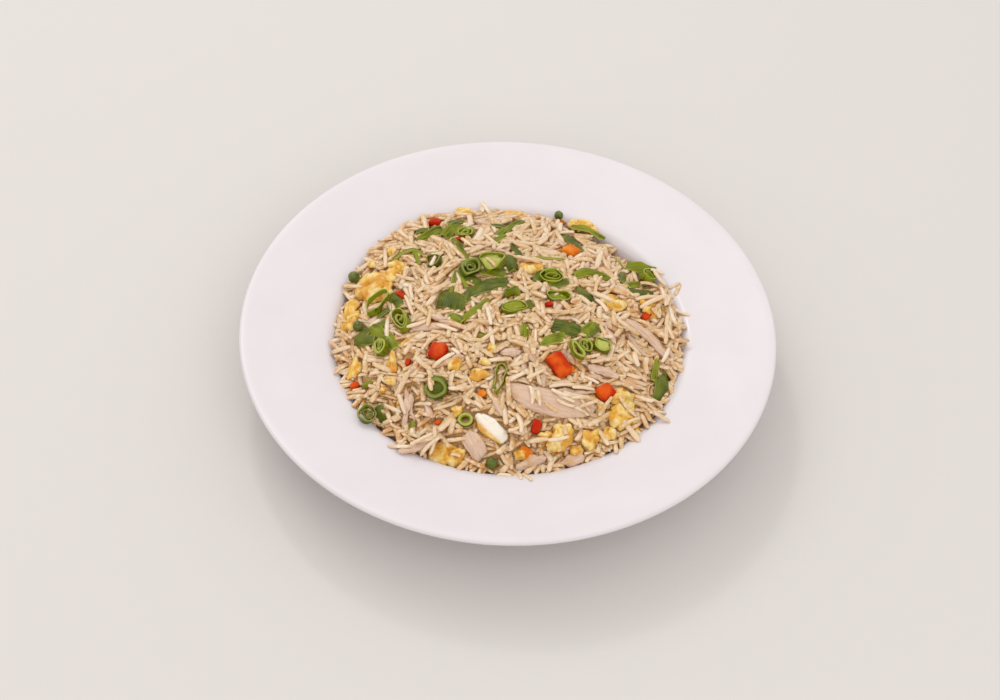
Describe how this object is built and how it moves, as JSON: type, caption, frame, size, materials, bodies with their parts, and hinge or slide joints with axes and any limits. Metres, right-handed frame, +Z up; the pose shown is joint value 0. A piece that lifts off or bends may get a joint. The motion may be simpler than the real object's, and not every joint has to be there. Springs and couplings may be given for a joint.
{
  "type": "plate of egg fried rice",
  "caption": "Wide-rimmed white plate with a heap of long-grain fried rice, egg, chicken, diced pepper, peas and sliced scallions.",
  "frame": {"origin": "centre of the foot ring, at the level that the plate stands on", "axes": "+Z up along the plate's axis, +Y away from the picture's camera, +X to its right"},
  "size_m": [0.3, 0.3, 0.0649],
  "materials": {
    "plate": "gloss",
    "rice": "moist satin",
    "egg": "moist satin",
    "chicken": "moist satin",
    "pepper": "oily gloss",
    "pea": "oily gloss",
    "scallion": "oily gloss"
  },
  "bodies": {
    "root": {"plate": "plate", "rice": "rice", "egg_sheet_left": "egg", "egg_back_left": "egg", "egg_slab_back_right": "egg", "egg_centre_back": "egg", "egg_inner_right": "egg", "egg_right": "egg", "egg_white_front": "egg", "egg_front_left": "egg", "egg_curl_front": "egg", "egg_curl_right": "egg", "chicken_slab": "chicken", "chicken_strip_right": "chicken", "chicken_chunk_front": "chicken", "chicken_shred_left": "chicken", "chicken_flake_front": "chicken", "pepper_back_right": "pepper", "pepper_left": "pepper", "pepper_centre": "pepper", "pepper_right": "pepper", "pea_left_back": "pea", "pea_back": "pea", "pea_left": "pea", "pea_front": "pea", "scallion_curl_back_left": "scallion", "scallion_fold_back": "scallion", "scallion_stalk_back": "scallion", "scallion_hook_back_left": "scallion", "scallion_strip_back_right": "scallion", "scallion_leaf_back_right": "scallion", "scallion_arch_right": "scallion", "scallion_trough_right": "scallion", "scallion_strip_right": "scallion", "scallion_leaf_centre": "scallion", "scallion_flap_centre": "scallion", "scallion_square_left": "scallion", "scallion_pale_strip": "scallion", "scallion_diamond_right": "scallion", "scallion_strip_left": "scallion", "scallion_flap_right": "scallion", "scallion_diamond_rim": "scallion", "scallion_ring_back": "scallion", "scallion_ring_back_left": "scallion", "scallion_ring_right": "scallion", "scallion_ring_centre_left": "scallion", "scallion_corner_centre": "scallion", "scallion_pair_right": "scallion", "scallion_oval_right": "scallion", "scallion_tube_centre": "scallion", "scallion_oval_centre": "scallion", "scallion_loop_left": "scallion", "scallion_oval_left": "scallion", "scallion_spiral_left": "scallion", "scallion_ring_pair_left": "scallion", "scallion_ring_pair_right": "scallion", "scallion_slim_oval": "scallion", "scallion_long_oval": "scallion", "scallion_ring_rim_left": "scallion", "scallion_dark_ring": "scallion"}
  },
  "joints": []
}
